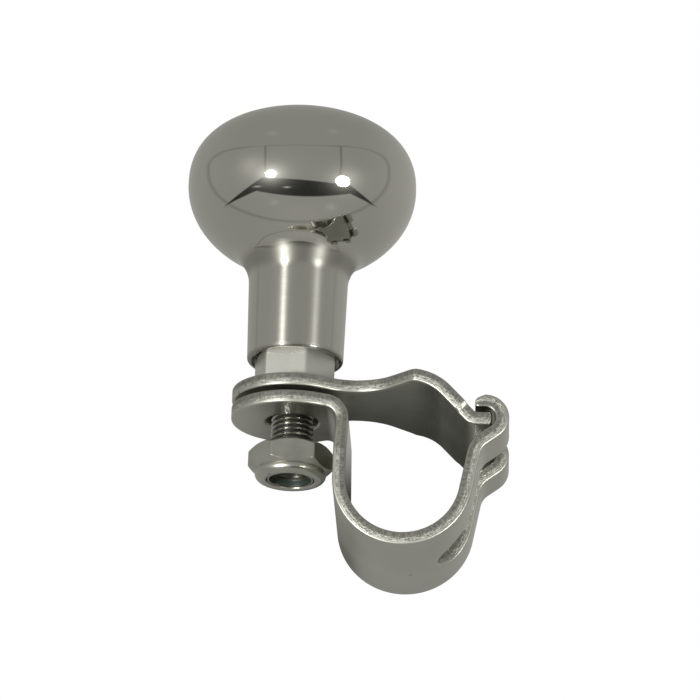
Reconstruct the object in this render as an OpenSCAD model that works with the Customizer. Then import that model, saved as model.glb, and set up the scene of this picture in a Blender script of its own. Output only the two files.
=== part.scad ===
// Clamp-on steering wheel spinner knob: a hollow ball knob that turns on two small ball bearings,
// a spindle with a hex collar and a threaded stud, and two strap brackets that hook together
// round the rim and are drawn up by a lock nut, shown backed off.
// The origin is the centre of the rim in the lower strap's loop. +Z runs along the stud to the knob,
// +X from the stud to the hooked ends, and the rim runs along Y.

/* [Ball knob] */
// Largest diameter of the ball
ball_d = 54.7; // [50:0.1:62]
// Height of the flattened dome above the widest ring
dome_h = 17.2; // [14:0.1:24]
// Depth of the belly below the widest ring, as if it closed
belly_h = 21.2; // [19:0.1:26]
// Exponent of the dome's outline, 2 for an ellipse and more for a squarer one
dome_power = 2.4; // [2:0.1:3]
// Distance from the widest ring down to the open end of the neck
neck_drop = 44.5; // [42:0.1:52]
// Diameter of the neck under its fillet
neck_d = 23.6; // [23:0.1:25]
// How much the neck's radius narrows down to its open end
neck_taper = 0.4; // [0:0.1:0.5]
// Radius of the fillet between the belly and the neck
neck_fillet = 9.5; // [6:0.5:11]
// Wall of the hollow ball
ball_wall = 1.8; // [1.2:0.1:2.6]
// Rounding of the neck's open end
lip_r = 0.7; // [0.3:0.1:0.8]
// Diameter of the counterbore that hides the top of the hex collar
mouth_d = 20.6; // [20.2:0.1:21]
// Depth of the counterbore
mouth_depth = 1.6; // [1.6:0.1:3]
// Diameter of the hole between the bearing bore and the hollow ball
vent_d = 14; // [12:0.5:15]

/* [Bearings] */
// Outer diameter of a bearing
bearing_d = 19; // [18.6:0.1:19.2]
// Bore of a bearing
bearing_bore = 8; // [7:0.1:8.4]
// Width of a bearing
bearing_w = 6; // [5.6:0.1:7]
// Gap between the two bearings
bearing_gap = 10.5; // [4:0.5:11]
// Diameter of a ball
ball_bearing_d = 3; // [2.6:0.1:3.2]
// Balls in each bearing
ball_count = 7; // [6:1:8]
// Radial wall of the inner ring at its shoulder
inner_ring_wall = 1.6; // [1.3:0.1:1.8]
// Radial wall of the outer ring at its shoulder
outer_ring_wall = 1.6; // [1.3:0.1:1.8]
// Thickness of a bearing's shield
shield_t = 0.3; // [0.2:0.05:0.4]

/* [Spindle] */
// Width across the flats of the hex collar
collar_af = 17; // [16:0.1:17.2]
// Height of the hex collar
collar_h = 9; // [8.4:0.1:9.6]
// Turn of the collar's flats away from the front
collar_turn = -12; // [-30:1:30]
// Diameter of the round shoulder under the lower bearing
shoulder_d = 11; // [10:0.1:12]
// Diameter of the threaded stud
stud_d = 10; // [9:0.1:10.4]
// Length of the stud below the collar
stud_l = 19.6; // [18.6:0.1:20.2]
// Chamfer at the ends of the spindle
spindle_chamfer = 0.6; // [0.3:0.1:0.9]

/* [Retaining rings] */
// Thickness of the washer on the upper bearing
washer_t = 0.5; // [0.3:0.1:0.8]
// Thickness of the shaft ring
shaft_ring_t = 0.8; // [0.6:0.1:1]
// Thickness of the bore ring
bore_ring_t = 1; // [0.8:0.1:1.2]
// Depth of the ring grooves
groove_depth = 0.5; // [0.3:0.1:0.7]

/* [Strap brackets] */
// Thickness of the strap
strap_t = 3.05; // [2.5:0.05:3.4]
// Width of the strap over the rim
strap_w = 38; // [32:0.5:42]
// Diameter of the round eyes on the stud
eye_d = 29; // [27:0.5:31]
// Diameter of the holes for the stud
eye_hole_d = 12.2; // [11.6:0.1:13]
// Open gap between the two eyes with the nut backed off
jaw_gap = 1.25; // [0.8:0.05:1.5]

/* [Upper bracket] */
// Width of the upper strap at its waist
waist_w = 20; // [17:0.5:22]
// Radius of the hollow sides of the waist
waist_r = 12; // [10:0.5:14]
// Angle at which the strap widens to the saddle
flare_angle = 45; // [38:1:50]
// Inner radius of the saddle's bend
saddle_r = 10.5; // [9:0.1:12]
// Slope of the strap down to its tongue
saddle_slope = 46; // [42:1:49]
// Radius of the bend into the tongue
tongue_bend_r = 1; // [0.6:0.1:1.5]
// Length of the flat tongue in the hook
tongue_l = 3.45; // [3:0.05:4]
// Reach of the tongue past the centre of the hook
tongue_reach = 1.6; // [1:0.1:1.7]
// Step at each side where the tongue starts
nick = 0.8; // [0.5:0.1:1.2]

/* [Lower bracket] */
// Radius of the loop that takes the rim
rim_r = 13.2; // [12.4:0.1:13.8]
// Distance from the stud's axis to the wall's rim side
wall_x = 13.7; // [13.5:0.1:15]
// Inner radius of the bend from the eye to the wall
eye_bend_r = 3; // [2:0.1:3.2]
// Distance from the eye's underside to the centre of the rim
rim_drop = 19.55; // [19:0.1:22]
// Width of the lower strap where it leaves the eye
throat_w = 24.6; // [22:0.2:26]
// Height over which the wall widens to the full strap
wall_flare_h = 9; // [7:0.5:11]
// Angle by which the leg above the loop leans outwards
leg_lean = 10.5; // [9:0.5:12]
// Length of the straight leg above the loop
leg_l = 9.3; // [8:0.1:10]
// Turn of the outward bend under the hook
kick_angle = 43; // [40:1:46]
// Inner radius of the outward bend
kick_r = 4.2; // [3.6:0.1:4.6]
// Straight length between the outward bend and the hook
kick_l = 3.2; // [2.8:0.1:3.8]
// Inner radius of the hook
hook_r = 2.6; // [2.5:0.05:3]
// Straight length at the hook's tip
tip_l = 2.3; // [1.8:0.1:2.6]
// Thickness left at the hook's tip
tip_t = 2; // [1.6:0.1:2.4]
// Width of the slot between the two hook fingers
slot_w = 12.4; // [10:0.2:14]
// Shift of the slot towards the back
slot_shift = 1; // [-1.5:0.5:1.5]
// Angle below the rim's centre line at which the slot's round end is centred
slot_angle = 35; // [25:1:40]

/* [Lock nut] */
// Width across the flats of the nut
nut_af = 17.6; // [16:0.1:17.8]
// Height of the nut's hexagon
nut_hex_h = 5.8; // [5:0.1:6.2]
// Height of the round collar below the hexagon
nut_collar_h = 2.2; // [2:0.1:3]
// Diameter of the round collar
nut_collar_d = 16.8; // [15:0.1:17]
// Distance of the nut below the lower eye
nut_back_off = 6.65; // [6.2:0.05:7.2]
// Turn of the nut's flats away from the front
nut_turn = 5; // [-30:0.5:30]
// Outer diameter of the soft insert
insert_d = 12.6; // [12:0.1:13]
// Height of the soft insert
insert_h = 1.5; // [1.2:0.1:1.8]
// Diameter of the nut's flat faces inside their chamfers
nut_face_d = 16.9; // [15.4:0.1:17]
// Angle of the chamfers on the nut's corners
nut_chamfer_angle = 35; // [20:1:40]
// Rounding of the round collar's lower edge
nut_dome_r = 1.7; // [0.8:0.1:1.8]
// Diameter of the rolled-in opening under the insert
nut_mouth_d = 11.2; // [10.8:0.1:11.8]

/* [Clearances] */
// Radial clearance between parts that are pressed or slid together
fit_gap = 0.03; // [0.02:0.01:0.06]
// Radial clearance between the stud and the nut
thread_gap = 0.06; // [0.04:0.01:0.1]
// Clearance between a ball and its grooves
ball_gap = 0.08; // [0.05:0.01:0.12]
// Clearance between parts that turn past each other
run_gap = 0.3; // [0.2:0.05:0.4]

/* [Hidden] */
$fn = 96;
// How far cuts run past the faces that they open
past = 1;
// How far bends run into the flats, and the step left where they do
lap_angle = 0.2;
seam = 0.002;
// Gaps of the two open rings, and how far they stand out of their grooves
shaft_ring_gap = 3;
bore_ring_gap = 5;
shaft_ring_stand = 1.5;
bore_ring_stand = 1.4;
// Shares of the belly's depth that the hollow may take, and of the slope that lies past the tongue's step
hollow_share = 0.97;
nick_share = 0.65;
blank_w = strap_w + 2 * past;
polished = [0.72, 0.72, 0.70];
satin = [0.60, 0.60, 0.57];
bearing_steel = [0.66, 0.68, 0.70];
insert_green = [0.20, 0.26, 0.24];

// Places along the stud, from the rim's centre up
stud_x = -(wall_x + rim_r);
lower_eye_z = rim_drop;
upper_eye_z = lower_eye_z + strap_t + jaw_gap;
seat_z = upper_eye_z + strap_t;
collar_top_z = seat_z + run_gap / 3 + collar_h;
bearing_z = collar_top_z + run_gap + bore_ring_t;
upper_bearing_z = bearing_z + bearing_w + bearing_gap;
bearings_top_z = upper_bearing_z + bearing_w;
neck_z = collar_top_z - mouth_depth + run_gap;
ball_z = neck_z + neck_drop;
nut_z = lower_eye_z - nut_back_off;
nut_face_r = nut_face_d / 2;

// Ball, neck and bearing radii
ball_r = ball_d / 2;
neck_r = neck_d / 2;
bearing_r = bearing_d / 2;
race_r = (bearing_bore + bearing_d) / 4;
groove_r = ball_bearing_d / 2 + ball_gap;
inner_ring_r = bearing_bore / 2 + inner_ring_wall;
outer_land_r = bearing_r - outer_ring_wall;
shaft_r = bearing_bore / 2 - fit_gap;
bore_r = bearing_r + fit_gap;

// Hook and tongue
loop_end = 180 - leg_lean;
kick_heading = 90 - leg_lean - kick_angle;
leg_start = [rim_r * cos(leg_lean), -rim_r * sin(leg_lean)];
kick_start = leg_start + leg_l * [sin(leg_lean), cos(leg_lean)];
kick_centre = kick_start + (kick_r + strap_t) * [cos(leg_lean), -sin(leg_lean)];
kick_end = kick_centre + (kick_r + strap_t) * [-sin(kick_heading), cos(kick_heading)];
hook_start = kick_end + kick_l * [cos(kick_heading), sin(kick_heading)];
hook_centre = hook_start + hook_r * [-sin(kick_heading), cos(kick_heading)];
tongue_top = hook_centre[1] + strap_t / 2;
slope_l = (seat_z - tongue_top - (saddle_r + strap_t + tongue_bend_r) * (1 - cos(saddle_slope)))
          / sin(saddle_slope);
tongue_x = hook_centre[0] + tongue_reach - tongue_l;
saddle_start = tongue_x - stud_x - (saddle_r + strap_t + tongue_bend_r) * sin(saddle_slope)
               - slope_l * cos(saddle_slope);

// Height of the ball's outline at radius share s of its largest radius
function dome_z(s) = dome_h * pow(max(0, 1 - pow(s, dome_power)), 1 / dome_power);
// Point on the belly at angle a below the widest ring
function belly(a) = [ball_r * cos(a), -belly_h * sin(a)];
function belly_normal(a) = let (n = [belly_h * cos(a), -ball_r * sin(a)]) n / norm(n);
// Angle at which the fillet touches the belly, found by halving
function touch(lo, hi, n) = let (m = (lo + hi) / 2)
    n == 0 ? m
    : belly(m)[0] + neck_fillet * belly_normal(m)[0] > neck_r + neck_fillet ? touch(m, hi, n - 1)
    : touch(lo, m, n - 1);
// Angles between which it lies, and the number of halvings
touch_low = 5;
touch_high = 89;
halvings = 30;
touch_a = touch(touch_low, touch_high, halvings);
fillet_c = belly(touch_a) + neck_fillet * belly_normal(touch_a);
fillet_from = atan2(belly(touch_a)[1] - fillet_c[1], belly(touch_a)[0] - fillet_c[0]);
outline_steps = 18;
fillet_steps = 8;
function steps(n) = [for (i = [0 : n]) i / n];

// Outline of the ball from the top of its dome down to the neck
function ball_outline() = concat(
    [for (t = steps(outline_steps)) let (s = sin(90 * t)) [ball_r * s, ball_z + dome_z(s)]],
    [for (t = steps(outline_steps)) if (t > 0) belly(touch_a * t) + [0, ball_z]],
    [for (t = steps(fillet_steps)) if (t > 0) let (a = fillet_from + t * (180 - fillet_from))
        fillet_c + neck_fillet * [cos(a), sin(a)] + [0, ball_z]]);
// Outline of the hollow, one wall inside the ball
hollow_r = ball_r - ball_wall;
hollow_floor_z = max(bearings_top_z + ball_wall, ball_z - hollow_share * (belly_h - ball_wall));
hollow_floor_a = asin((ball_z - hollow_floor_z) / (belly_h - ball_wall));
function hollow_outline() = concat(
    [for (t = steps(outline_steps)) let (s = sin(90 * t))
        [hollow_r * s, ball_z + dome_z(s) * (1 - ball_wall / dome_h)]],
    [for (t = steps(outline_steps)) if (t > 0)
        [hollow_r * cos(hollow_floor_a * t), ball_z - (belly_h - ball_wall) * sin(hollow_floor_a * t)]]);

module on_stud(z = 0) { translate([stud_x, 0, z]) children(); }

module ring(r_in, r_out, h) {
    difference() {
        cylinder(r = r_out, h = h);
        translate([0, 0, -past]) cylinder(r = r_in, h = h + 2 * past);
    }
}

module hexagon(af, h) { cylinder(r = af / 2 / cos(30), h = h, $fn = 6); }

// Ball knob and its neck, one hollow piece
module knob_shell() {
    lip_x = neck_r - neck_taper - lip_r;
    lip = [for (t = steps(fillet_steps)) [lip_x + lip_r * cos(90 * t), neck_z + lip_r - lip_r * sin(90 * t)]];
    color(polished) on_stud() difference() {
        rotate_extrude() polygon(concat(ball_outline(), lip, [[0, neck_z]]));
        rotate_extrude() polygon(concat(hollow_outline(), [[0, hollow_floor_z]]));
        translate([0, 0, neck_z - past]) cylinder(r = mouth_d / 2, h = mouth_depth - run_gap + past);
        translate([0, 0, neck_z]) cylinder(r = bore_r, h = bearings_top_z - neck_z);
        translate([0, 0, neck_z]) cylinder(r = vent_d / 2, h = hollow_floor_z - neck_z + past);
        translate([0, 0, bearing_z - bore_ring_t - fit_gap])
            cylinder(r = bore_r + groove_depth, h = bore_ring_t);
    }
}

// Hex collar, bearing seat and threaded stud, turned from one bar
module spindle() {
    stem_top = bearings_top_z + washer_t + shaft_ring_t + past;
    ring_z = bearings_top_z + washer_t + fit_gap;
    ring_end_z = ring_z + shaft_ring_t + fit_gap;
    tip_z = seat_z - stud_l;
    profile = [[0, tip_z], [stud_d / 2 - spindle_chamfer, tip_z], [stud_d / 2, tip_z + spindle_chamfer],
               [stud_d / 2, collar_top_z - past], [shoulder_d / 2, collar_top_z - past],
               [shoulder_d / 2, bearing_z - fit_gap], [shaft_r, bearing_z - fit_gap],
               [shaft_r, ring_z], [shaft_r - groove_depth, ring_z], [shaft_r - groove_depth, ring_end_z],
               [shaft_r, ring_end_z], [shaft_r, stem_top],
               [shaft_r - spindle_chamfer, stem_top + spindle_chamfer], [0, stem_top + spindle_chamfer]];
    color(satin) on_stud() union() {
        rotate_extrude() polygon(profile);
        translate([0, 0, seat_z + run_gap / 3]) rotate(collar_turn) hexagon(collar_af, collar_h);
    }
}

module outer_ring(z) {
    color(bearing_steel) on_stud(z) difference() {
        ring(outer_land_r, bearing_r, bearing_w);
        translate([0, 0, bearing_w / 2]) rotate_extrude() translate([race_r, 0]) circle(r = groove_r);
    }
}

module inner_ring(z) {
    color(bearing_steel) on_stud(z) difference() {
        ring(bearing_bore / 2, inner_ring_r, bearing_w);
        translate([0, 0, bearing_w / 2]) rotate_extrude() translate([race_r, 0]) circle(r = groove_r);
    }
}

module balls(z) {
    color(bearing_steel) on_stud(z + bearing_w / 2)
        for (i = [0 : ball_count - 1]) rotate(360 * i / ball_count)
            translate([race_r, 0, 0]) sphere(d = ball_bearing_d, $fn = 32);
}

// Ring with one round pocket for each ball
module cage(z) {
    h = bearing_w - 2 * (shield_t + run_gap);
    color(satin) on_stud(z + (bearing_w - h) / 2) difference() {
        ring(inner_ring_r + run_gap, outer_land_r - run_gap, h);
        for (i = [0 : ball_count - 1]) rotate(360 * i / ball_count)
            translate([bearing_bore / 2, 0, h / 2]) rotate([0, 90, 0])
                cylinder(d = ball_bearing_d + 2 * ball_gap, h = bearing_r - bearing_bore / 2);
    }
}

// Thin washer that closes the outer side of a bearing, carried by the outer ring
module shield(z) {
    color(satin) on_stud(z) ring(inner_ring_r + run_gap, outer_land_r - fit_gap, shield_t);
}

module shaft_washer() {
    color(satin) on_stud(bearings_top_z) ring(shaft_r + fit_gap, inner_ring_r, washer_t);
}

// Open ring sprung into a groove, with its gap on the +X side
module open_ring(r_in, r_out, t, gap) {
    difference() {
        ring(r_in, r_out, t);
        translate([0, -gap / 2, -past]) cube([r_out + past, gap, t + 2 * past]);
    }
}

module shaft_ring() {
    color(satin) on_stud(bearings_top_z + washer_t + 2 * fit_gap)
        open_ring(shaft_r - groove_depth + fit_gap, shaft_r + shaft_ring_stand, shaft_ring_t - fit_gap,
                  shaft_ring_gap);
}

module bore_ring() {
    color(satin) on_stud(bearing_z - bore_ring_t)
        open_ring(bore_r - bore_ring_stand, bore_r + groove_depth - fit_gap, bore_ring_t - 2 * fit_gap,
                  bore_ring_gap);
}

module inner_spacer() {
    color(satin) on_stud(bearing_z + bearing_w) ring(shaft_r + fit_gap, inner_ring_r, bearing_gap);
}

module outer_spacer() {
    color(satin) on_stud(bearing_z + bearing_w) ring(outer_land_r, bearing_r, bearing_gap);
}

// Flat stretch of strap that ends where its children start, a hair thinner than the bends that run into it
module flat(l) {
    translate([0, -blank_w / 2, -strap_t + seam]) cube([l, blank_w, strap_t - 2 * seam]);
    translate([l, 0, 0]) children();
}

// Bend away from the top face, by angle a about inner radius r
module bend_down(a, r) {
    translate([0, 0, -strap_t - r]) {
        rotate([90, 0, 0]) translate([0, 0, -blank_w / 2]) rotate(90 - a - lap_angle)
            rotate_extrude(angle = a + 2 * lap_angle) translate([r, 0]) square([strap_t, blank_w]);
        rotate([0, a, 0]) translate([0, 0, strap_t + r]) children();
    }
}

// Bend towards the top face, by angle a about inner radius r
module bend_up(a, r) {
    translate([0, 0, r]) {
        rotate([90, 0, 0]) translate([0, 0, -blank_w / 2]) rotate(-90 - lap_angle)
            rotate_extrude(angle = a + 2 * lap_angle) translate([r, 0]) square([strap_t, blank_w]);
        rotate([0, -a, 0]) translate([0, 0, -r]) children();
    }
}

// Closed outline from one side's points and their mirror image
function both_sides(side) = concat(side, [for (i = [len(side) - 1 : -1 : 0]) [side[i][0], -side[i][1]]]);
function swapped(points) = [for (p = points) [p[1], p[0]]];

// Plan of the upper strap, from the eye through its waist to the saddle's full width
waist_x = sqrt(pow(eye_d / 2 + waist_r, 2) - pow(waist_w / 2 + waist_r, 2));
waist_from = atan2(waist_w / 2 + waist_r, waist_x);
flare_end = waist_x + waist_r * sin(flare_angle)
            + (strap_w / 2 - waist_w / 2 - waist_r * (1 - cos(flare_angle))) / tan(flare_angle);
nick_x = tongue_x - stud_x - nick_share * slope_l * cos(saddle_slope);
function waist_side() = concat(
    [for (t = steps(fillet_steps)) let (a = waist_from + 180 + t * (90 + flare_angle - waist_from))
        [waist_x + waist_r * cos(a), waist_w / 2 + waist_r + waist_r * sin(a)]],
    [[flare_end - nick, strap_w / 2 - nick], [flare_end + nick, strap_w / 2],
     [nick_x, strap_w / 2], [nick_x + nick / 2, strap_w / 2 - nick],
     [tongue_x - stud_x + tongue_l + past, strap_w / 2 - nick]]);

// Strap with a round eye, a waist, a wide saddle over the rim and a tongue for the hook
module upper_bracket() {
    color(satin) on_stud(seat_z) difference() {
        intersection() {
            translate([-eye_d / 2, 0, 0]) flat(eye_d / 2 + saddle_start)
                bend_down(saddle_slope, saddle_r) flat(slope_l)
                bend_up(saddle_slope, tongue_bend_r) flat(tongue_l);
            union() {
                translate([0, 0, -strap_w]) cylinder(d = eye_d, h = 2 * strap_w);
                translate([0, 0, -strap_w]) linear_extrude(height = 2 * strap_w)
                    polygon(both_sides(waist_side()));
            }
        }
        translate([0, 0, -strap_t - past]) cylinder(d = eye_hole_d, h = strap_t + 2 * past);
    }
}

// Side of the lower strap seen along X: narrow at the eye's bend, full width below
function throat_side() = [[throat_w / 2, strap_t + past],
    [throat_w / 2, -strap_t - eye_bend_r], [strap_w / 2, -strap_t - eye_bend_r - wall_flare_h],
    [strap_w / 2, -3 * rim_drop]];

// Strap with a round eye, a wall, a loop round the rim and two hook fingers beside a slot
module lower_bracket() {
    eye_flat = wall_x - strap_t - eye_bend_r;
    wall_l = rim_drop - eye_bend_r;
    color(satin) difference() {
        on_stud(lower_eye_z + strap_t) intersection() {
            translate([-eye_d / 2, 0, 0]) flat(eye_d / 2 + eye_flat)
                bend_down(90, eye_bend_r) flat(wall_l)
                bend_up(loop_end, rim_r) flat(leg_l)
                bend_down(kick_angle, kick_r) flat(kick_l)
                bend_up(180 - kick_heading, hook_r) flat(tip_l);
            union() {
                translate([0, 0, -strap_t - past]) cylinder(d = eye_d, h = strap_t + 2 * past);
                rotate([90, 0, 90]) linear_extrude(height = wall_x + rim_r)
                    polygon(swapped(both_sides(swapped(throat_side()))));
                translate([wall_x + rim_r / 2, -strap_w / 2, -3 * rim_drop])
                    cube([3 * rim_r, strap_w, 4 * rim_drop]);
            }
        }
        on_stud(lower_eye_z - past) cylinder(d = eye_hole_d, h = strap_t + 2 * past);
        translate([0, slot_shift, 0]) rotate([0, slot_angle, 0]) {
            translate([-rim_r / 2, -slot_w / 2, 0]) cube([4 * rim_r, slot_w, 4 * rim_r]);
            translate([rim_r / 2, 0, 0]) rotate([0, 90, 0]) cylinder(d = slot_w, h = rim_r);
        }
        tip_wedge();
    }
}

// Cut that thins the hook's upper side towards its tip
module tip_wedge() {
    tip_top = hook_centre[1] + hook_r + strap_t;
    translate([0, -strap_w / 2 - past, 0]) mirror([0, 1, 0]) rotate([90, 0, 0])
        linear_extrude(height = strap_w + 2 * past)
        polygon([[hook_centre[0], tip_top], [hook_centre[0] - tip_l - past, tip_top - (strap_t - tip_t)],
                 [hook_centre[0] - tip_l - past, tip_top + past], [hook_centre[0], tip_top + past]]);
}

// Hexagon with a domed collar rolled in over the soft insert
module lock_nut() {
    height = nut_hex_h + nut_collar_h;
    waist_h = nut_hex_h / 2;
    insert_z = -height + (nut_collar_h - insert_h) / 2;
    color(satin) on_stud(nut_z) difference() {
        union() {
            intersection() {
                translate([0, 0, -nut_hex_h]) rotate(nut_turn) hexagon(nut_af, nut_hex_h);
                rotate_extrude() polygon([[0, 0], [nut_face_r, 0],
                    [nut_face_r + waist_h / tan(nut_chamfer_angle), -waist_h],
                    [nut_face_r, -nut_hex_h], [0, -nut_hex_h]]);
            }
            rotate_extrude() polygon(concat([[0, -waist_h], [nut_collar_d / 2, -waist_h]],
                [for (t = steps(fillet_steps)) [nut_collar_d / 2 - nut_dome_r * (1 - cos(90 * t)),
                    -height + nut_dome_r * (1 - sin(90 * t))]], [[0, -height]]));
        }
        translate([0, 0, -height - past]) cylinder(d = stud_d + 2 * thread_gap, h = height + 2 * past);
        translate([0, 0, insert_z - fit_gap])
            cylinder(d = insert_d + 2 * fit_gap, h = insert_h + 2 * fit_gap);
        translate([0, 0, -height - past]) cylinder(d = nut_mouth_d, h = nut_collar_h / 2 + past);
    }
}

// Soft ring that grips the thread
module nut_insert() {
    insert_z = -nut_hex_h - nut_collar_h + (nut_collar_h - insert_h) / 2;
    color(insert_green) on_stud(nut_z + insert_z) ring(stud_d / 2 + thread_gap, insert_d / 2, insert_h);
}

module lower_outer_ring() { outer_ring(bearing_z); }
module lower_inner_ring() { inner_ring(bearing_z); }
module lower_balls() { balls(bearing_z); }
module lower_cage() { cage(bearing_z); }
module lower_shield() { shield(bearing_z); }
module upper_outer_ring() { outer_ring(upper_bearing_z); }
module upper_inner_ring() { inner_ring(upper_bearing_z); }
module upper_balls() { balls(upper_bearing_z); }
module upper_cage() { cage(upper_bearing_z); }
module upper_shield() { shield(upper_bearing_z + bearing_w - shield_t); }

knob_shell();
spindle();
lower_outer_ring();
lower_inner_ring();
lower_balls();
lower_cage();
lower_shield();
upper_outer_ring();
upper_inner_ring();
upper_balls();
upper_cage();
upper_shield();
inner_spacer();
outer_spacer();
shaft_washer();
shaft_ring();
bore_ring();
upper_bracket();
lower_bracket();
lock_nut();
nut_insert();
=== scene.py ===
"""Looks of a clamp-on spinner knob: a polished ball knob on a hex-collared spindle, two bent strap
brackets that hook together round the rim, and a lock nut with a soft insert, on a plain studio stage.
Sizes are in millimetres here and become metres as a mesh is made."""
import math

import bpy
import numpy as np
from mathutils import Matrix, Vector
from mathutils.geometry import delaunay_2d_cdt


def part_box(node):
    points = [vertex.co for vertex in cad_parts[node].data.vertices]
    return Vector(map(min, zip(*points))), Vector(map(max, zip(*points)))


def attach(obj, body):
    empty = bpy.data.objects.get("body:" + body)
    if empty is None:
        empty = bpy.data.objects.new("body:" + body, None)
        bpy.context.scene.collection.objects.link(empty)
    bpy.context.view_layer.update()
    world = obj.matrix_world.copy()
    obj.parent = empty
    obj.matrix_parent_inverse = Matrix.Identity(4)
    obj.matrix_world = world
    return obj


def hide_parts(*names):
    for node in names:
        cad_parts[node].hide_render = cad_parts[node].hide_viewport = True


bl_info = {
    "name": "Spinner Knob Maker",
    "version": (1, 0, 0),
    "blender": (4, 5, 0),
    "location": "View3D > Sidebar > Spinner Knob",
    "description": "Makes a rim-clamped spinner knob over its packed frame",
    "category": "Add Mesh",
}

MM = 0.001
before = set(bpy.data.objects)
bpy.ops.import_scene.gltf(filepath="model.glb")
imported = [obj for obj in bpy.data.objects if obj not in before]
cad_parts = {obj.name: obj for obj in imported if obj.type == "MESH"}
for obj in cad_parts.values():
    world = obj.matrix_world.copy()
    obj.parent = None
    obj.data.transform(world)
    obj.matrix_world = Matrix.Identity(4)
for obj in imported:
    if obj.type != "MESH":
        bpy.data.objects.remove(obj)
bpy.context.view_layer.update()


def node_box(node):
    """Lowest and highest corner of a CAD node, in millimetres."""
    low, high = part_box(node)
    return np.array(low) / MM, np.array(high) / MM


KNOB_LOW, KNOB_HIGH = node_box("knob_shell")
UPPER_LOW, UPPER_HIGH = node_box("upper_bracket")
LOWER_LOW, LOWER_HIGH = node_box("lower_bracket")
SPINDLE_LOW, SPINDLE_HIGH = node_box("spindle")
NUT_LOW, NUT_HIGH = node_box("lock_nut")
INSERT_LOW, INSERT_HIGH = node_box("nut_insert")
STUD_X = (KNOB_LOW[0] + KNOB_HIGH[0]) / 2
SEAT_Z = UPPER_HIGH[2]


# ---------- Sizes and colours that a user would change ----------

def length(name, description, millimetres):
    """A size in metres, given in millimetres."""
    return bpy.props.FloatProperty(name=name, description=description, default=float(millimetres) * MM,
                                   unit="LENGTH", precision=5)


def angle(name, description, degrees):
    return bpy.props.FloatProperty(name=name, description=description, default=math.radians(degrees),
                                   subtype="ANGLE")


def number(name, description, default, low=0.0, high=1.0):
    return bpy.props.FloatProperty(name=name, description=description, default=default, min=low, max=high)


def colour(name, description, default):
    return bpy.props.FloatVectorProperty(name=name, description=description, default=default, size=3,
                                         min=0.0, max=1.0, subtype="COLOR")


class KnobSettings(bpy.types.PropertyGroup):
    ball_d: length("Ball diameter", "Largest diameter of the ball", KNOB_HIGH[0] - KNOB_LOW[0])
    dome_h: length("Dome height", "Height of the dome above the widest ring", 17.2)
    belly_h: length("Belly depth", "Depth of the belly below the widest ring, as if it closed", 21.2)
    dome_power: number("Dome power", "Exponent of the dome's outline", 2.4, 2.0, 3.0)
    neck_d: length("Neck diameter", "Diameter of the neck under its fillet", 23.6)
    neck_taper: length("Neck taper", "How much the neck's radius narrows to its open end", 0.4)
    neck_fillet: length("Neck fillet", "Radius between the belly and the neck", 9.5)
    lip_r: length("Lip", "Rounding of the neck's open end", 0.7)
    mouth_d: length("Mouth diameter", "Diameter of the counterbore over the hex collar", 20.6)
    mouth_depth: length("Mouth depth", "Depth of the counterbore", 1.3)
    bore_d: length("Bore", "Bore for the bearings", 19.06)
    wall: length("Wall", "Wall of the hollow ball", 1.8)
    steel: colour("Polished steel", "Colour of the polished ball", (0.58, 0.578, 0.52))
    polish: number("Polish", "Roughness of the polished ball", 0.035)
    neck_polish: number("Neck polish", "Roughness of the lathe-polished neck", 0.30)
    bloom: number("Bloom", "Share of the polish that scatters light round a highlight", 0.08)


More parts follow.
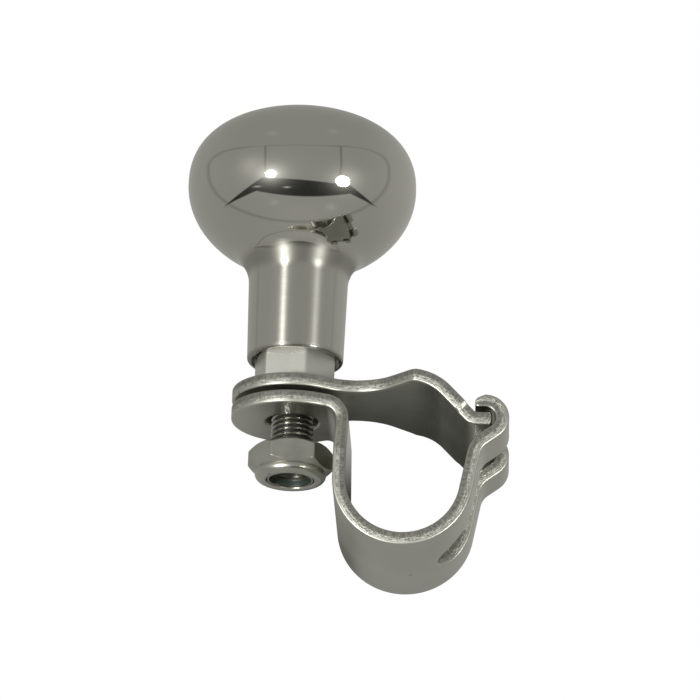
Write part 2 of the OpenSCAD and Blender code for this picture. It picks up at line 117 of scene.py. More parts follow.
class StrapSettings(bpy.types.PropertyGroup):
    thickness: length("Strap thickness", "Thickness of both straps", 3.05)
    width: length("Strap width", "Width of the straps over the rim", UPPER_HIGH[1] - UPPER_LOW[1])
    eye_d: length("Eye diameter", "Diameter of the round eyes", 29.0)
    hole_d: length("Eye hole", "Hole for the stud", 12.2)
    outer_roll: length("Outer edge roll", "Rounding of the edges on the outer faces", 0.55)
    inner_roll: length("Inner edge roll", "Rounding of the edges on the rim's side", 0.22)
    corner: length("Corner softening", "Reach of the softening of the outline's corners", 0.5)
    waist_w: length("Waist width", "Width of the upper strap at its waist", 20.0)
    waist_r: length("Waist radius", "Radius of the waist's hollow sides", 12.0)
    flare: angle("Flare", "Angle at which the upper strap widens", 45.0)
    saddle_r: length("Saddle radius", "Inner radius of the saddle's bend", 10.5)
    saddle_slope: angle("Saddle slope", "Slope down to the tongue", 46.0)
    tongue_r: length("Tongue bend", "Inner radius of the bend into the tongue", 1.0)
    tongue_l: length("Tongue length", "Flat length of the tongue", 3.45)
    tongue_reach: length("Tongue reach", "Reach of the tongue past the hook's centre", 1.6)
    nick: length("Nick", "Step at each side where the tongue starts", 0.8)
    rim_r: length("Rim radius", "Radius of the loop that takes the rim", 13.2)
    eye_bend_r: length("Eye bend", "Inner radius of the bend from the lower eye to the wall", 3.0)
    rim_drop: length("Rim drop", "From the lower eye's underside to the rim's centre", 19.55)
    throat_w: length("Throat width", "Width of the lower strap where it leaves the eye", 24.6)
    wall_flare: length("Wall flare", "Length over which the wall widens", 9.0)
    leg_lean: angle("Leg lean", "Outward lean of the leg above the loop", 10.5)
    leg_l: length("Leg length", "Straight length of the leg", 9.3)
    kick: angle("Kick", "Outward bend under the hook", 43.0)
    kick_r: length("Kick radius", "Inner radius of the outward bend", 4.2)
    kick_l: length("Kick length", "Straight length under the hook", 3.2)
    hook_r: length("Hook radius", "Inner radius of the hook", 2.6)
    tip_l: length("Tip length", "Straight length at the hook's tip", 2.3)
    tip_t: length("Tip thickness", "Thickness left at the hook's tip", 2.0)
    slot_w: length("Slot width", "Width of the slot between the hook fingers", 12.4)
    slot_shift: length("Slot shift", "Shift of the slot towards the back", 1.0)
    slot_angle: angle("Slot angle", "Where the slot's round end is centred, below the rim's centre line", 35.0)
    steel: colour("Strap steel", "Colour of the tumbled strap", (0.55, 0.555, 0.495))
    outer_rough: number("Outer roughness", "Roughness of the outer faces", 0.34)
    inner_rough: number("Inner roughness", "Roughness of the faces on the rim's side and of the eyes", 0.19)


class SpindleSettings(bpy.types.PropertyGroup):
    collar_af: length("Collar flats", "Width across the flats of the hex collar", 17.0)
    collar_h: length("Collar height", "Height of the hex collar", 9.0)
    collar_turn: angle("Collar turn", "Turn of the collar's flats", 18.0)
    stud_d: length("Stud diameter", "Diameter of the threaded stud", 10.0)
    pitch: length("Thread pitch", "Pitch of the thread", 1.25)
    thread_depth: length("Thread depth", "Depth of the thread", 0.72)
    shoulder_d: length("Shoulder", "Diameter of the shoulder under the bearings", 11.0)
    journal_d: length("Journal", "Diameter of the bearing seat", 7.94)
    steel: colour("Spindle steel", "Colour of the turned bar", (0.60, 0.60, 0.55))


class NutSettings(bpy.types.PropertyGroup):
    across_flats: length("Nut flats", "Width across the flats of the nut", 17.6)
    hex_h: length("Hex height", "Height of the nut's hexagon", 5.8)
    collar_d: length("Collar diameter", "Diameter of the round collar", 16.8)
    turn: angle("Nut turn", "Turn of the nut's flats", 35.0)
    face_d: length("Face diameter", "Diameter of the flat faces inside the chamfers", 16.9)
    chamfer: angle("Chamfer", "Angle of the corner chamfers", 35.0)
    dome_r: length("Collar rounding", "Rounding of the collar's lower edge", 1.7)
    mouth_d: length("Opening", "Diameter of the rolled-in opening", 11.2)
    bore_d: length("Bore", "Bore of the nut", 10.12)
    steel: colour("Nut steel", "Colour of the nut", (0.54, 0.54, 0.48))
    insert: colour("Insert", "Colour of the soft insert", (0.02, 0.035, 0.028))


class StageSettings(bpy.types.PropertyGroup):
    tent: number("Tent light", "Brightness of the grey light tent", 0.38, 0.0, 2.0)
    lamp: number("Lamp light", "Brightness of the two round lamps", 112.0, 0.0, 200.0)
    floor: colour("Floor", "Colour of the plain floor", (0.86, 0.86, 0.86))
    lens: number("Lens", "Focal length of the camera in millimetres", 231.43, 20.0, 600.0)
    distance: length("Camera distance", "From the camera to the point that it looks at", 1065.67)


GROUPS = {"knob": KnobSettings, "straps": StrapSettings, "spindle": SpindleSettings, "nut": NutSettings,
          "stage": StageSettings}


def settings(group):
    return getattr(bpy.context.scene, "spinner_" + group)


class Millimetres:
    """Reads a group's sizes in millimetres, and its other values as they are."""

    def __init__(self, group):
        self.group = settings(group)

    def __getattr__(self, name):
        value = getattr(self.group, name)
        unit = self.group.bl_rna.properties[name].unit
        return value / MM if unit == "LENGTH" else value


# ---------- Meshes ----------

def steps(low, high, count):
    return np.linspace(low, high, count)


def add_mesh(name, points, faces, uv=None, values=None, sharp=math.radians(38)):
    """Makes a mesh object from points in millimetres, faces as index rows with -1 past a triangle's end,
    a UV pair for each point and named values for each point."""
    mesh = bpy.data.meshes.new(name)
    counts = (faces >= 0).sum(1)
    loops = faces[faces >= 0]
    mesh.vertices.add(len(points))
    mesh.vertices.foreach_set("co", (np.asarray(points, np.float64) * MM).astype(np.float32).ravel())
    mesh.loops.add(len(loops))
    mesh.loops.foreach_set("vertex_index", loops.astype(np.int32))
    mesh.polygons.add(len(faces))
    mesh.polygons.foreach_set("loop_start", np.concatenate([[0], np.cumsum(counts)[:-1]]).astype(np.int32))
    mesh.polygons.foreach_set("use_smooth", np.ones(len(faces), bool))
    mesh.update(calc_edges=True)
    if uv is not None:
        layer = mesh.uv_layers.new(name="sheet")
        layer.data.foreach_set("uv", np.asarray(uv, np.float32)[loops].ravel())
    for key, value in (values or {}).items():
        attribute = mesh.attributes.new(key, "FLOAT", "POINT")
        attribute.data.foreach_set("value", np.asarray(value, np.float32))
    mesh.validate()
    mesh.set_sharp_from_angle(angle=sharp)
    piece = bpy.data.objects.new(name, mesh)
    bpy.context.scene.collection.objects.link(piece)
    return piece


def quads(rows, columns, wrap):
    """Faces of a grid of points stored row by row, closed across its columns where wrap is true."""
    last = columns if wrap else columns - 1
    r, c = np.meshgrid(np.arange(rows - 1), np.arange(last), indexing="ij")
    d = (c + 1) % columns
    a, b = r * columns + c, r * columns + d
    return np.stack([a, b, b + columns, a + columns], -1).reshape(-1, 4)


def lathe(name, radius, z, turn=0.0, closed=False):
    """Closed surface of rows of points round the stud's axis. radius is a grid of rows by angles, z the
    height of each row, and the rows run from the bottom up on the outside. A row of radius 0 closes to
    a pole, and closed joins the last row to the first."""
    rows, columns = radius.shape
    around = turn + 2 * np.pi * np.arange(columns) / columns
    z = np.broadcast_to(np.asarray(z, float).reshape(rows, -1), radius.shape)
    points = np.stack([STUD_X + radius * np.cos(around), radius * np.sin(around), z], -1).reshape(-1, 3)
    if closed:
        faces = quads(rows + 1, columns, True) % (rows * columns)
    else:
        faces = quads(rows, columns, True)
    poles = np.flatnonzero(radius.max(1) < 1e-6)
    keep = np.arange(len(points))
    for row in poles:
        keep[row * columns:(row + 1) * columns] = row * columns
    faces = keep[faces]
    same = faces == np.roll(faces, -1, axis=1)
    triangles = same.any(1)
    for side in range(4):
        rows_here = triangles & same[:, side]
        others = [k for k in range(4) if k != side]
        faces[rows_here] = np.concatenate([faces[rows_here][:, others], -np.ones((rows_here.sum(), 1), int)], 1)
    used, packed = np.unique(faces[faces >= 0], return_inverse=True)
    faces[faces >= 0] = packed
    turns = np.broadcast_to(around, radius.shape).reshape(-1)
    walk = np.concatenate([[0], np.cumsum(np.hypot(np.diff(radius[:, 0]), np.diff(z[:, 0])))])
    uv = np.stack([turns, np.repeat(walk, columns) * MM], -1)
    return add_mesh(name, points[used], faces, uv=uv[used])


def rounded_hexagon(across_flats, around, power):
    """Radius of a hexagon whose corners are eased: the soft largest of six flats, by a power mean of the
    cosines from each flat's middle."""
    flats = np.arange(6) * np.pi / 3
    share = np.maximum(np.cos(around[:, None] - flats), 0) ** power
    return across_flats / 2 / share.sum(1) ** (1 / power)


# ---------- Ball knob ----------

def knob_profile(s):
    """Outline of the knob from the top of its dome, down the outside, in at the mouth and up the inside:
    a superellipse dome, an elliptic belly, a circular fillet, a tapered neck, a round lip, then the
    counterbore, the bearing bore and the hollow."""
    ball_r, neck_r = s.ball_d / 2, s.neck_d / 2
    low, high = math.radians(5), math.radians(89)

    def belly(a):
        return np.array([ball_r * np.cos(a), -s.belly_h * np.sin(a)])

    def out(a):
        n = np.array([s.belly_h * np.cos(a), -ball_r * np.sin(a)])
        return n / np.hypot(*n)

    for _ in range(40):
        mid = (low + high) / 2
        wide = belly(mid)[0] + s.neck_fillet * out(mid)[0] > neck_r + s.neck_fillet
        low, high = (mid, high) if wide else (low, mid)
    centre = belly(low) + s.neck_fillet * out(low)
    start = math.atan2(*(belly(low) - centre)[::-1]) % (2 * math.pi)
    ball_z = KNOB_HIGH[2] - s.dome_h
    neck_z = KNOB_LOW[2]
    bore_top = node_box("upper_outer_ring")[1][2]
    share = np.sin(steps(0, np.pi / 2, 80))
    dome = np.stack([ball_r * share, s.dome_h * (1 - share ** s.dome_power) ** (1 / s.dome_power)])
    under = belly(steps(0, low, 70)[1:])
    turn = steps(start, math.pi, 36)[1:]
    fillet = centre[:, None] + s.neck_fillet * np.stack([np.cos(turn), np.sin(turn)])
    outer = np.concatenate([dome, under, fillet], 1) + [[0], [ball_z]]
    lip_x = neck_r - s.neck_taper - s.lip_r
    drop = steps(0, np.pi / 2, 9)
    lip = np.stack([lip_x + s.lip_r * np.cos(drop), neck_z + s.lip_r - s.lip_r * np.sin(drop)])
    neck = outer[:, -1:] + (lip[:, :1] - outer[:, -1:]) * steps(0, 1, 24)[1:-1]
    mouth_r, bore_r = s.mouth_d / 2, s.bore_d / 2
    step_z = neck_z + s.mouth_depth
    hollow_r, hollow_h = ball_r - s.wall, s.belly_h - s.wall
    floor_z = max(bore_top + s.wall, ball_z - 0.97 * hollow_h)
    floor_a = math.asin((ball_z - floor_z) / hollow_h)
    inside = np.array([[mouth_r + 0.15, neck_z], [mouth_r, neck_z + 0.15], [mouth_r, step_z], [bore_r + 0.1, step_z],
                       [bore_r, step_z + 0.1], [bore_r, bore_top], [7.0, bore_top], [7.0, floor_z]]).T
    up = steps(floor_a, 0, 14)
    under_in = np.stack([hollow_r * np.cos(up), ball_z - hollow_h * np.sin(up)])
    back = np.sin(steps(np.pi / 2, 0, 16)[1:])
    dome_in = np.stack([hollow_r * back, ball_z + s.dome_h * (1 - s.wall / s.dome_h)
                        * (1 - back ** s.dome_power) ** (1 / s.dome_power)])
    profile = np.concatenate([outer, neck, lip, inside, under_in, dome_in], 1)
    profile[0, [0, -1]] = 0
    return profile[:, ::-1]


# ---------- Strap brackets ----------

class StrapPath:
    """Middle line of a bent strap in the XZ plane: stretches of constant curvature, each with its length
    and its turn, so a point's place and the sheet's normal follow from its distance along the strap."""

    def __init__(self, x, z, stretches):
        self.starts, self.points, self.headings, self.bends = [0.0], [(x, z)], [0.0], []
        for run, turn in stretches:
            bend = turn / run
            self.bends.append(bend)
            h, (x, z) = self.headings[-1], self.points[-1]
            x, z = self.step(x, z, h, bend, run)
            self.starts.append(self.starts[-1] + run)
            self.points.append((float(x), float(z)))
            self.headings.append(h + turn)
        self.end = self.starts.pop()
        self.points.pop(), self.headings.pop()

    @staticmethod
    def step(x, z, heading, bend, run):
        """Place after a run: a straight line, or an arc of radius 1 / bend."""
        safe = np.where(np.abs(bend) < 1e-9, 1.0, bend)
        after = heading + bend * run
        arc_x, arc_z = (np.sin(after) - np.sin(heading)) / safe, (np.cos(heading) - np.cos(after)) / safe
        straight = np.abs(bend) < 1e-9
        return (x + np.where(straight, run * np.cos(heading), arc_x),
                z + np.where(straight, run * np.sin(heading), arc_z))

    def place(self, along, across, height):
        """Points at a distance along, an offset across and a height off the middle line."""
        k = np.clip(np.searchsorted(self.starts, along, side="right") - 1, 0, len(self.bends) - 1)
        start, bend = np.array(self.starts)[k], np.array(self.bends)[k]
        heading, at = np.array(self.headings)[k], np.array(self.points)[k]
        run = along - start
        x, z = self.step(at[:, 0], at[:, 1], heading, bend, run)
        heading = heading + bend * run
        return np.stack([x - height * np.sin(heading), across, z + height * np.cos(heading)], -1)


def arc(centre, radius, start, end, spacing=0.25):
    count = max(4, int(abs(end - start) * radius / spacing))
    turn = steps(start, end, count)
    return np.stack([centre[0] + radius * np.cos(turn), centre[1] + radius * np.sin(turn)], -1)


def mirrored(side):
    """Closed outline from the points of its +Y side and their mirror image."""
    return np.concatenate([side, side[::-1] * [1, -1]])


def resampled(loop, spacing):
    """Points at even spacing along a closed loop, with the length run to each."""
    ring = np.concatenate([loop, loop[:1]])
    keep = np.concatenate([[True], np.hypot(*np.diff(ring, axis=0).T) > 1e-6])
    ring = ring[keep]
    run = np.concatenate([[0], np.cumsum(np.hypot(*np.diff(ring, axis=0).T))])
    at = np.arange(int(run[-1] / spacing)) * (run[-1] / int(run[-1] / spacing))
    return np.stack([np.interp(at, run, ring[:, 0]), np.interp(at, run, ring[:, 1])], -1), at


def softened(loop, reach, spacing=0.1):
    """The loop with its corners eased, by a Gaussian mean of its points over the reach."""
    fine, _ = resampled(loop, spacing)
    offsets = np.arange(len(fine))
    offsets = np.minimum(offsets, len(fine) - offsets) * spacing
    weight = np.exp(-0.5 * (offsets / reach) ** 2)
    weight /= weight.sum()
    return np.real(np.fft.ifft(np.fft.fft(fine[:, 0] + 1j * fine[:, 1]) * np.fft.fft(weight)))[:, None] * [1, 0] \
        + np.imag(np.fft.ifft(np.fft.fft(fine[:, 0] + 1j * fine[:, 1]) * np.fft.fft(weight)))[:, None] * [0, 1]


def edge_distance(points, loops):
    """Shortest distance of each point from the loops' segments."""
    best = np.full(len(points), 1e9)
    for loop in loops:
        a, b = loop, np.roll(loop, -1, axis=0)
        d = b - a
        for part in np.array_split(np.arange(len(points)), max(1, len(points) // 4000)):
            p = points[part][:, None]
            t = np.clip(((p - a) * d).sum(-1) / (d * d).sum(-1), 0, 1)
            best[part] = np.minimum(best[part], np.hypot(*np.moveaxis(p - a - t[..., None] * d, -1, 0)).min(1))
    return best


def inside(points, loops):
    """True where a point is inside the outline, by counting crossings of a line towards +s."""
    crossings = np.zeros(len(points), int)
    for loop in loops:
        a, b = loop, np.roll(loop, -1, axis=0)
        for part in np.array_split(np.arange(len(points)), max(1, len(points) // 4000)):
            p = points[part][:, None]
            between = (a[:, 1] > p[..., 1]) != (b[:, 1] > p[..., 1])
            rise = np.where(np.abs(b[:, 1] - a[:, 1]) < 1e-12, 1.0, b[:, 1] - a[:, 1])
            cut = a[:, 0] + (p[..., 1] - a[:, 1]) / rise * (b[:, 0] - a[:, 0])
            crossings[part] += (between & (cut > p[..., 0])).sum(1)
    return crossings % 2 == 1


def rolled(distance, radius):
    """How far a face drops at a distance from the sheared edge: a quarter circle of the radius."""
    left = np.clip(radius - distance, 0, radius)
    return radius - np.sqrt(np.maximum(radius ** 2 - left ** 2, 0))


def strap(name, path, loops, thickness, outer_roll, inner_roll, thin_from=None, thin_to=0.0, rows=7):
    """Bent sheet from its flat outline. The plan is filled with triangles, both faces drop to rolled
    edges, a sheared wall joins them, and everything is carried along the strap's middle line. The +
    side of the middle line is the inner face."""
    fine = [resampled(loop, 0.45) for loop in loops]
    rims = [points for points, _ in fine]
    rings = []
    for rim in rims:
        tangent = np.roll(rim, -1, axis=0) - np.roll(rim, 1, axis=0)
        normal = np.stack([-tangent[:, 1], tangent[:, 0]], -1) / np.hypot(*tangent.T)[:, None]
        for depth in (0.02, 0.07, 0.16, 0.3, 0.5, 0.8, 1.3):
            for way in (1, -1):
                ring = rim + way * depth * normal
                kept = inside(ring, rims)
                kept[kept] = edge_distance(ring[kept], rims) > 0.93 * depth
                rings.append(ring[kept])
    low, high = rims[0].min(0), rims[0].max(0)
    s, y = np.meshgrid(np.arange(low[0], high[0], 0.62), np.arange(low[1], high[1], 1.05), indexing="ij")
    middle = np.stack([s.ravel(), (y + 0.52 * (np.arange(s.shape[0])[:, None] % 2)).ravel()], -1)
    middle = middle[inside(middle, rims)]
    middle = middle[edge_distance(middle, rims) > 1.7]
    points = np.concatenate(rims + rings + [middle])
    edges, at = [], 0
    for rim in rims:
        k = np.arange(len(rim))
        edges.append(np.stack([at + k, at + (k + 1) % len(rim)], -1))
        at += len(rim)
    made = delaunay_2d_cdt(points.tolist(), np.concatenate(edges).tolist(), [], 0, 1e-5)
    plan, triangles = np.array([tuple(v) for v in made[0]]), np.array(made[2])
    triangles = triangles[inside(plan[triangles].mean(1), rims)]
    used, packed = np.unique(triangles, return_inverse=True)
    plan, triangles = plan[used], packed.reshape(-1, 3)
    a, b, c = plan[triangles[:, 0]], plan[triangles[:, 1]], plan[triangles[:, 2]]
    flip = (b - a)[:, 0] * (c - a)[:, 1] - (b - a)[:, 1] * (c - a)[:, 0] < 0
    triangles[flip] = triangles[flip][:, ::-1]
    count = len(plan)
    distance = edge_distance(plan, rims)
    directed = np.concatenate([triangles[:, [0, 1]], triangles[:, [1, 2]], triangles[:, [2, 0]]])
    key = directed[:, 0] * count + directed[:, 1]
    outline = directed[~np.isin(key, directed[:, 1] * count + directed[:, 0])]
    rim_points = np.unique(outline)
    distance[rim_points] = 0
    outer = np.full(count, thickness / 2)
    if thin_from is not None:
        outer -= np.clip((plan[:, 0] - thin_from) / (path.end - thin_from), 0, 1) * thin_to
    top = thickness / 2 - rolled(distance, inner_roll)
    bottom = -outer + rolled(distance, outer_roll)
    share = steps(0, 1, rows + 2)[1:-1]
    wall_h = top[rim_points] + share[:, None] * (bottom[rim_points] - top[rim_points])
    wall_plan = np.broadcast_to(plan[rim_points], (rows, len(rim_points), 2))
    dense = np.concatenate(rims)
    runs = np.concatenate([run + 1000 * k for k, (_, run) in enumerate(fine)])
    near = np.concatenate([np.argmin(((plan[part][:, None] - dense) ** 2).sum(-1), 1)
                           for part in np.array_split(np.arange(count), max(1, count // 3000))])
    run = runs[near]
    along = np.concatenate([plan[:, 0], plan[:, 0], wall_plan[..., 0].ravel()])
    across = np.concatenate([plan[:, 1], plan[:, 1], wall_plan[..., 1].ravel()])
    height = np.concatenate([top, bottom, wall_h.ravel()])
    row_of = np.full(count, -1)
    row_of[rim_points] = np.arange(len(rim_points))
    p, q = outline[:, 0], outline[:, 1]
    levels_p = np.concatenate([[p], 2 * count + np.arange(rows)[:, None] * len(rim_points) + row_of[p], [p + count]])
    levels_q = np.concatenate([[q], 2 * count + np.arange(rows)[:, None] * len(rim_points) + row_of[q], [q + count]])
    walls = np.stack([levels_p[:-1], levels_p[1:], levels_q[1:], levels_q[:-1]], -1).reshape(-1, 4)
    pad = -np.ones((len(triangles), 1), int)
    faces = np.concatenate([np.concatenate([triangles, pad], 1),
                            np.concatenate([triangles[:, ::-1] + count, pad], 1), walls])
    edge = np.exp(-(np.maximum(distance - 0.1, 0) / 0.28) ** 2)
    side = np.concatenate([np.ones(count), -np.ones(count), np.repeat(1 - 2 * share, len(rim_points))])
    values = {"side": side,
              "edge": np.concatenate([0.6 * edge, 0.6 * edge, np.ones(wall_h.size)]),
              "run": np.concatenate([run, run, np.tile(run[rim_points], rows)]) * MM,
              "along": along * MM}
    uv = np.stack([along, across], -1) * MM
    return add_mesh(name, path.place(along, across, height), faces, uv=uv, values=values)


def eye_and(side, eye_r, join):
    """Outline with a round eye behind it: the eye's arc from the join's angle round the back, and the
    points of the +Y side after it."""
    back = arc((0, 0), eye_r, math.pi, join)
    return mirrored(np.concatenate([back, side]))


def hook_place(s):
    """Centre of the hook, from the loop's end up the leg, round the kick and along to the hook."""
    t, lean = s.thickness, s.leg_lean
    heading = math.pi / 2 - lean - s.kick
    at = np.array([s.rim_r * math.cos(lean), -s.rim_r * math.sin(lean)])
    at = at + s.leg_l * np.array([math.sin(lean), math.cos(lean)])
    centre = at + (s.kick_r + t) * np.array([math.cos(lean), -math.sin(lean)])
    at = centre + (s.kick_r + t) * np.array([-math.sin(heading), math.cos(heading)])
    at = at + s.kick_l * np.array([math.cos(heading), math.sin(heading)])
    return at + s.hook_r * np.array([-math.sin(heading), math.cos(heading)])


def upper_strap_shape(s):
    """Path and outline of the upper strap: eye, waist, saddle and tongue."""
    t, slope = s.thickness, s.saddle_slope
    hook = hook_place(s)
    reach = s.saddle_r + t + s.tongue_r
    slope_l = (SEAT_Z - hook[1] - t / 2 - reach * (1 - math.cos(slope))) / math.sin(slope)
    tongue_x = hook[0] + s.tongue_reach - s.tongue_l
    start = tongue_x - STUD_X - reach * math.sin(slope) - slope_l * math.cos(slope)
    saddle, tongue = s.saddle_r + t / 2, s.tongue_r + t / 2
    path = StrapPath(STUD_X, SEAT_Z - t / 2, [(start, 0), (saddle * slope, -slope), (slope_l, 0),
                                              (tongue * slope, slope), (s.tongue_l, 0)])
    eye_r, half, wide = s.eye_d / 2, s.waist_w / 2, s.width / 2
    waist_x = math.sqrt((eye_r + s.waist_r) ** 2 - (half + s.waist_r) ** 2)
    join = math.atan2(half + s.waist_r, waist_x)
    waist = arc((waist_x, half + s.waist_r), s.waist_r, join + math.pi, 1.5 * math.pi + s.flare)
    flare_end = waist[-1, 0] + (wide - waist[-1, 1]) / math.tan(s.flare)
    nick = start + saddle * slope + 0.66 * slope_l
    side = np.concatenate([waist, [[flare_end, wide], [nick, wide], [nick + 0.3, wide - s.nick],
                                   [path.end, wide - s.nick]]])
    return path, eye_and(side, eye_r, join)


def lower_strap_shape(s):
    """Path, outline, and where the tip starts to thin, of the lower strap: eye, wall, loop, leg, kick
    and hook, with a slot open to the tip."""
    t = s.thickness
    wall_x = -STUD_X - s.rim_r
    loop, kick, hook = s.rim_r + t / 2, s.kick_r + t / 2, s.hook_r + t / 2
    eye_bend, turn = s.eye_bend_r + t / 2, math.pi - s.leg_lean
    last = math.pi / 2 + s.leg_lean + s.kick
    stretches = [(wall_x - t - s.eye_bend_r, 0), (eye_bend * math.pi / 2, -math.pi / 2),
                 (s.rim_drop - s.eye_bend_r, 0), (loop * turn, turn), (s.leg_l, 0), (kick * s.kick, -s.kick),
                 (s.kick_l, 0), (hook * last, last), (s.tip_l, 0)]
    path = StrapPath(STUD_X, s.rim_drop + t / 2, stretches)
    eye_r, throat, wide = s.eye_d / 2, s.throat_w / 2, s.width / 2
    flare = path.starts[2]
    slot = path.starts[3] + loop * (math.pi - s.slot_angle)
    slot_r, middle = s.slot_w / 2, s.slot_shift
    end = path.end
    near = np.array([[flare, throat], [flare + s.wall_flare, wide], [end, wide], [end, middle + slot_r]])
    far = np.array([[end, middle - slot_r], [end, -wide], [flare + s.wall_flare, -wide], [flare, -throat]])
    join = math.asin(throat / eye_r)
    outline = np.concatenate([arc((0, 0), eye_r, 2 * math.pi - join, join), near,
                              arc((slot, middle), slot_r, math.pi / 2, 1.5 * math.pi), far])
    return path, outline, path.starts[8]


# ---------- Spindle and nut ----------

def spindle_rows(s):
    """Radius grid and heights of the spindle, from the stud's tip up: a chamfered end, a right-hand
    thread whose depth is a clipped triangle wave of height less turn, the hexagon with its corners
    eased, then the shoulder and the bearing seat."""
    columns = 240
    around = s.collar_turn + 2 * np.pi * np.arange(columns) / columns
    turned = 2 * np.pi * np.arange(columns) / columns
    stud_r, tip_z = s.stud_d / 2, SPINDLE_LOW[2]
    collar_z = SEAT_Z + 0.1
    top_z = SPINDLE_HIGH[2]
    bearing_z = node_box("lower_inner_ring")[0][2]
    z = np.arange(tip_z + 0.05, SEAT_Z - 0.6, s.pitch / 15)
    phase = (z[:, None] / s.pitch - around / (2 * np.pi)) % 1.0
    wave = np.abs(2 * phase - 1)
    cut = np.clip((wave - 0.14) / 0.62, 0, 1)
    cut = cut - 0.12 * np.sin(np.pi * np.clip((cut - 0.75) / 0.25, 0, 1)) * (cut > 0.75)
    thread = stud_r - s.thread_depth * cut
    end = np.minimum(stud_r, stud_r - 0.85 + (z - tip_z) * 1.0)
    runout = np.minimum(stud_r, stud_r - s.thread_depth + np.clip((SEAT_Z - 1.4 - z) * 1.5, 0, 1))
    thread = np.minimum(np.minimum(thread, end[:, None]), np.maximum(runout, 0)[:, None])
    hexagon = rounded_hexagon(s.collar_af, turned, 90)
    face = s.collar_af / 2 * 1.02
    low = np.array([0, 0.08, 0.2, 0.35, 0.5])
    high = s.collar_h - low[::-1]
    collar = np.concatenate([low, steps(1.0, s.collar_h - 1.0, 12), high])
    cone = face + 0.3 + np.minimum(collar, s.collar_h - collar) / math.tan(math.radians(30))
    ring = np.ones(columns)
    blocks = [(tip_z, 0 * ring), (tip_z, ring * 1.6), (tip_z + 0.0, ring * (stud_r - 0.9))]
    blocks += [(float(h), row) for h, row in zip(z, thread)]
    blocks += [(SEAT_Z - 0.55, ring * (stud_r - s.thread_depth)), (collar_z, ring * (stud_r - s.thread_depth)),
               (collar_z, ring * (stud_r + 1.2))]
    blocks += [(collar_z + float(h), np.minimum(hexagon, c)) for h, c in zip(collar, cone)]
    shoulder, journal = s.shoulder_d / 2, s.journal_d / 2
    blocks += [(collar_z + s.collar_h, ring * (shoulder + 0.2)), (collar_z + s.collar_h + 0.05, ring * shoulder),
               (bearing_z - 0.05, ring * shoulder), (bearing_z - 0.03, ring * journal),
               (top_z - 0.6, ring * journal), (top_z, ring * (journal - 0.6)), (top_z, 0 * ring)]
    heights = np.array([b[0] for b in blocks])
    return np.array([b[1] for b in blocks]), heights


def nut_rows(s):
    """Radius grid and heights of the nut, from the bottom of its bore down, out and up: rolled-in opening,
    domed collar, then the hexagon cut by a cone at each end, and the bore."""
    columns = 288
    turned = 2 * np.pi * np.arange(columns) / columns
    top, bottom = NUT_HIGH[2], NUT_LOW[2]
    hex_z = top - s.hex_h
    hexagon = rounded_hexagon(s.across_flats, turned, 80)
    ring = np.ones(columns)
    mouth, collar, bore = s.mouth_d / 2, s.collar_d / 2, s.bore_d / 2
    lip = 0.45
    roll = steps(0, np.pi / 2, 6)
    blocks = [(INSERT_LOW[2], ring * bore), (INSERT_LOW[2], ring * mouth)]
    blocks += [(bottom + lip - lip * math.sin(a), ring * (mouth + lip - lip * math.cos(a))) for a in roll]
    blocks += [(bottom, ring * r) for r in steps(mouth + lip + 0.1, collar - s.dome_r, 3)]
    blocks += [(bottom + s.dome_r * (1 - math.cos(a)), ring * (collar - s.dome_r * (1 - math.sin(a))))
               for a in steps(0, np.pi / 2, 12)[1:]]
    blocks += [(hex_z - 0.28, ring * collar), (hex_z - 0.1, ring * (collar - 0.06)), (hex_z, ring * (collar + 0.12))]
    rise = np.concatenate([steps(0, 1.3, 34), steps(1.5, s.hex_h - 1.5, 8), steps(s.hex_h - 1.3, s.hex_h, 34)])
    cone = s.face_d / 2 + np.minimum(rise, s.hex_h - rise) / math.tan(s.chamfer)
    k = 24.0
    soft = -np.log(np.exp(-k * hexagon[None]) / 1.0 * 1.0 + np.exp(-k * cone[:, None])) / k
    soft = np.minimum(soft, np.minimum(hexagon[None], cone[:, None]))
    blocks += [(hex_z + float(h), row) for h, row in zip(rise, soft)]
    blocks += [(top, ring * (bore + 0.7)), (top - 0.6, ring * bore)]
    return np.array([b[1] for b in blocks]), np.array([b[0] for b in blocks])


# ---------- Shader maths ----------

class Value:
    """A number that varies over a surface. Its arithmetic adds Math nodes to its tree."""

    def __init__(self, tree, socket):
        self.tree, self.socket = tree, socket

    def __add__(self, other):
        return self.tree.math("ADD", self, other)

    def __sub__(self, other):
        return self.tree.math("SUBTRACT", self, other)

    def __rsub__(self, other):
        return self.tree.math("SUBTRACT", other, self)

    def __mul__(self, other):
        return self.tree.math("MULTIPLY", self, other)

    def __truediv__(self, other):
        return self.tree.math("DIVIDE", self, other)

    def __pow__(self, other):
        return self.tree.math("POWER", self, other)

    def __abs__(self):
        return self.tree.math("ABSOLUTE", self)

    __radd__, __rmul__ = __add__, __mul__

    def smooth(self, low, high):
        """0 below low, 1 above high, and a smooth step between."""
        node = self.tree.node("ShaderNodeMapRange", {"interpolation_type": "SMOOTHSTEP"},
                              {"Value": self, "From Min": low, "From Max": high})
        return Value(self.tree, node.outputs["Result"])


